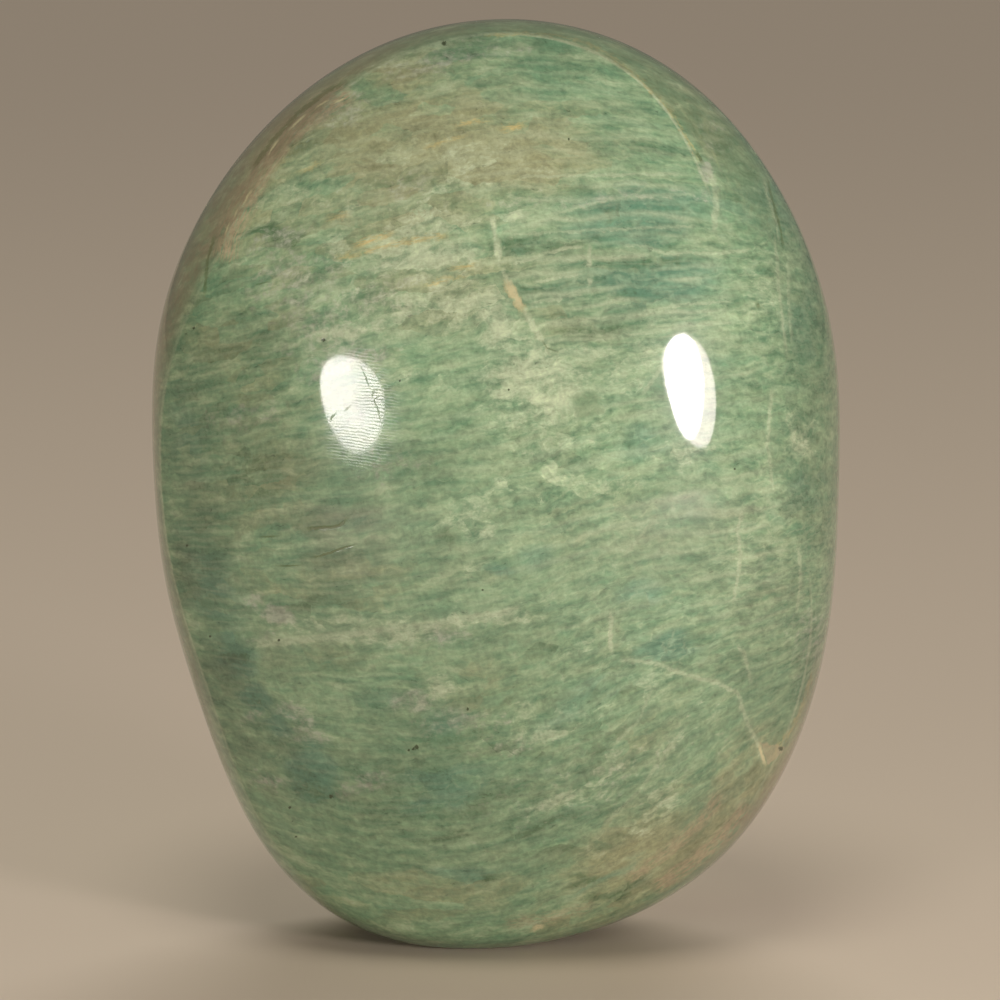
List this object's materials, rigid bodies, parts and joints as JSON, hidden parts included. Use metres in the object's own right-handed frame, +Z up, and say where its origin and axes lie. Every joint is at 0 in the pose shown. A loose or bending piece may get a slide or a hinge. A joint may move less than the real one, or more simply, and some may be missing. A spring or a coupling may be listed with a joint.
{
  "type": "amazonite freeform",
  "caption": "Polished green amazonite freeform: a flattened egg-shaped stone with domed faces, a soft ridge around them and a small flat spot to stand on.",
  "frame": {"origin": "middle of the flat spot that the stone stands on", "axes": "+Z up along the stone's longest side, +X to the right seen from the front, the front face looking along -Y, the thickness along Y"},
  "size_m": [0.075, 0.0545, 0.1007],
  "materials": {
    "amazonite": "polished"
  },
  "bodies": {
    "root": {"stone": "amazonite"}
  },
  "joints": []
}
